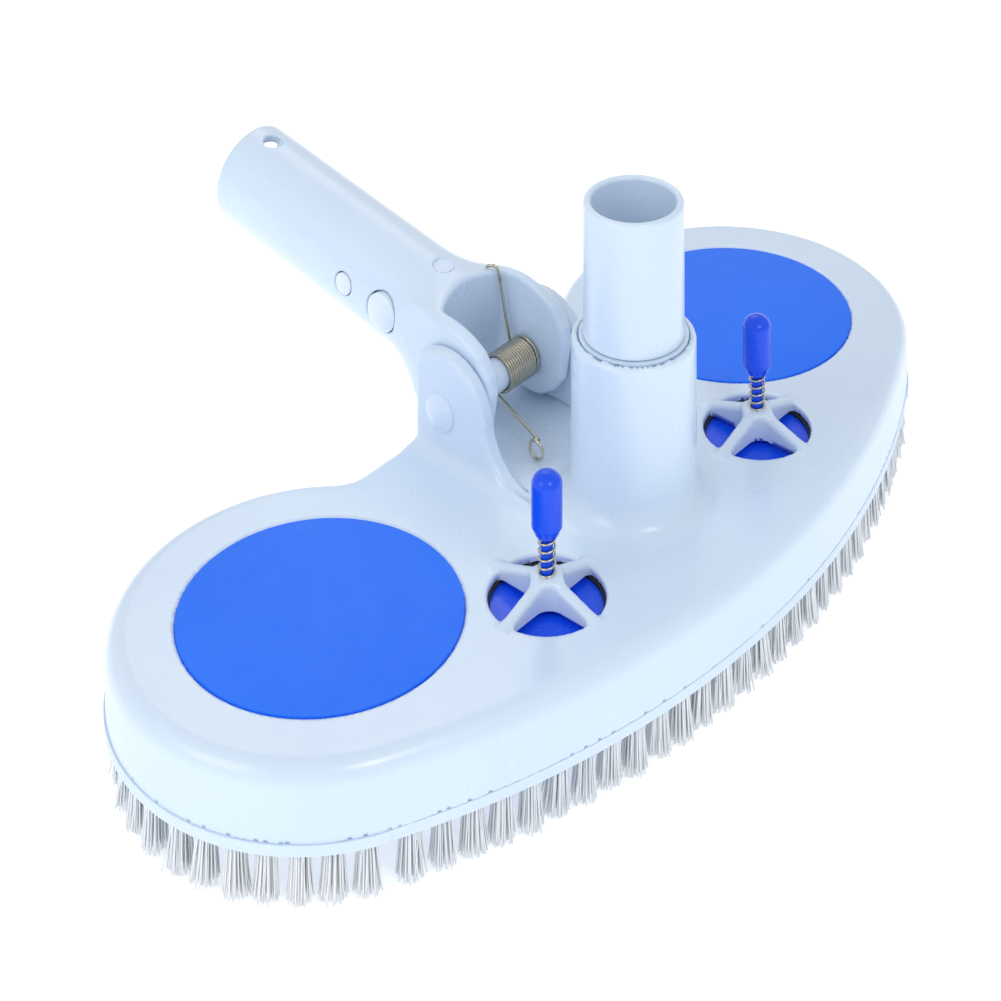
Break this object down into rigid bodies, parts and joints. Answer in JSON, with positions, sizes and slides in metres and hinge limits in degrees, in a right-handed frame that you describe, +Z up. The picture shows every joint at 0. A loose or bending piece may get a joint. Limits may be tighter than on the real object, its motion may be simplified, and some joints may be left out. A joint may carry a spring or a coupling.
{
  "type": "manual pool vacuum head",
  "caption": "Half-moon suction head with a bristle skirt, a swivelling hose tube, a sprung tilting pole handle, push-down relief valves and covered weight pockets.",
  "frame": {"origin": "on the hose tube's axis where its full diameter starts, just above the socket that a hose cuff stops on", "axes": "+X along the body to its right, +Y towards the handle side, +Z up along the hose tube"},
  "size_m": [0.3892, 0.2746, 0.1548],
  "materials": {
    "body_white": "moulded, satin gloss",
    "strip_white": "moulded, satin",
    "nylon": "cut nylon filament",
    "cover_blue": "moulded, fine satin",
    "valve_blue": "moulded, glossy",
    "pin_white": "moulded, satin gloss",
    "clip_white": "moulded, satin",
    "acetal": "smooth",
    "steel": "passivated stainless",
    "spring_steel": "drawn wire",
    "iron": "coated",
    "rubber": "matt"
  },
  "bodies": {
    "head": {"shell": "body_white", "brush_strip": "strip_white", "bristle_tufts": "nylon", "strip_screws": "steel", "left_weight_cover": "cover_blue", "right_weight_cover": "cover_blue", "left_weight": "iron", "right_weight": "iron", "thrust_washer": "acetal", "snap_ring": "steel", "pivot_pin": "pin_white", "pin_cap": "pin_white", "spring_bush": "pin_white", "torsion_spring": "spring_steel", "left_valve_spring": "spring_steel", "right_valve_spring": "spring_steel"},
    "hose_tube": {"swivel_tube": "body_white", "tube_seal": "rubber"},
    "handle": {"handle": "body_white", "torsion_spring_leg": "spring_steel", "clip_bend": "clip_white"},
    "left_valve": {"left_valve_cap": "valve_blue", "left_valve_stem": "valve_blue", "left_valve_disc": "valve_blue", "left_valve_seal": "rubber"},
    "right_valve": {"right_valve_cap": "valve_blue", "right_valve_stem": "valve_blue", "right_valve_disc": "valve_blue", "right_valve_seal": "rubber"},
    "left_clip": {"left_clip_arm": "clip_white"},
    "right_clip": {"right_clip_arm": "clip_white"}
  },
  "joints": [
    {"name": "hose_swivel", "type": "hinge", "parent": "head", "child": "hose_tube", "pos_m": [0, 0, 0], "axis": [0, 0, 1], "continuous": true},
    {"name": "handle_tilt", "type": "hinge", "parent": "head", "child": "handle", "pos_m": [0, 0.069, -0.0426], "axis": [1, 0, 0], "range_deg": [-14, 80]},
    {"name": "left_valve_press", "type": "slide", "parent": "head", "child": "left_valve", "axis": [0, 0, -1], "range_m": [0, 0.008], "stiffness_N_per_m": 60, "deforming": ["left_valve_spring"]},
    {"name": "right_valve_press", "type": "slide", "parent": "head", "child": "right_valve", "axis": [0, 0, -1], "range_m": [0, 0.008], "stiffness_N_per_m": 60, "deforming": ["right_valve_spring"]},
    {"name": "left_clip_press", "type": "slide", "parent": "handle", "child": "left_clip", "axis": [1, 0, 0], "range_m": [0, 0.005]},
    {"name": "right_clip_press", "type": "slide", "parent": "handle", "child": "right_clip", "axis": [-1, 0, 0], "range_m": [0, 0.005]}
  ],
  "couplings": [
    {"joint": "right_clip_press", "follows": "left_clip_press", "ratio": 1}
  ]
}
